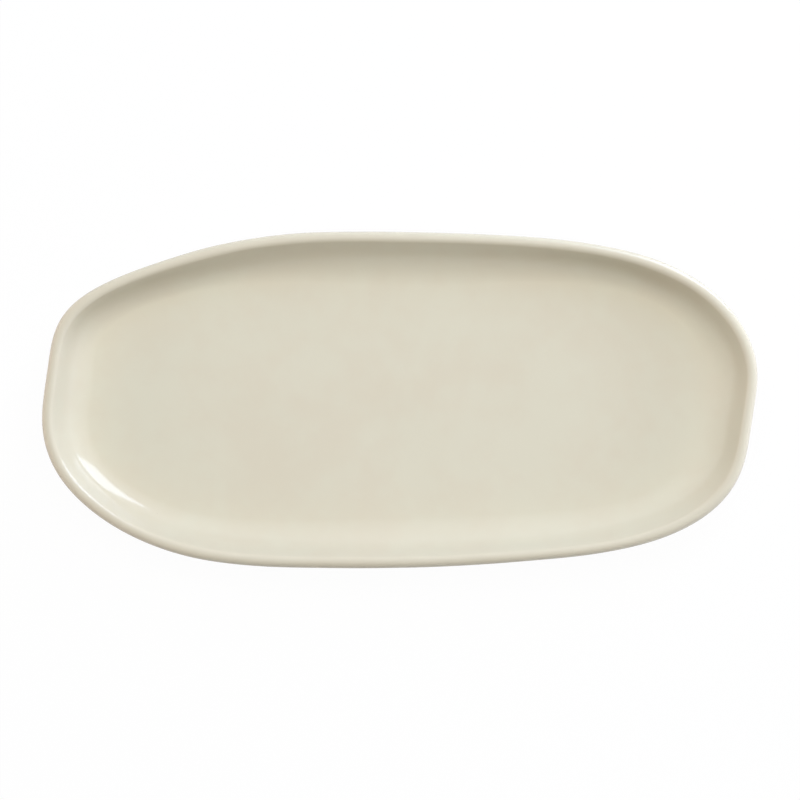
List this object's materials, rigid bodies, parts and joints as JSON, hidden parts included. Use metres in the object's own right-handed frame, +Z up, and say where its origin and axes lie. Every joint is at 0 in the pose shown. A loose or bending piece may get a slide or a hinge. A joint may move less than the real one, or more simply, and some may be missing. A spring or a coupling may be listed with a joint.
{
  "type": "asparagus plate",
  "caption": "Long, shallow ceramic serving plate with a soft pebble outline, a flat floor, a coved wall and a rolled rim, standing on a bare foot ring.",
  "frame": {"origin": "on the table, under the middle of the plate's length and width", "axes": "+X along the plate, towards the end that is on the right in the reference view; +Y across it, towards the back of that view; +Z up"},
  "size_m": [0.36, 0.17, 0.025],
  "materials": {
    "glaze": "gloss",
    "bare_clay": "matte"
  },
  "bodies": {
    "root": {"clay_body": "bare_clay", "face_glaze": "glaze", "base_glaze": "glaze"}
  },
  "joints": []
}
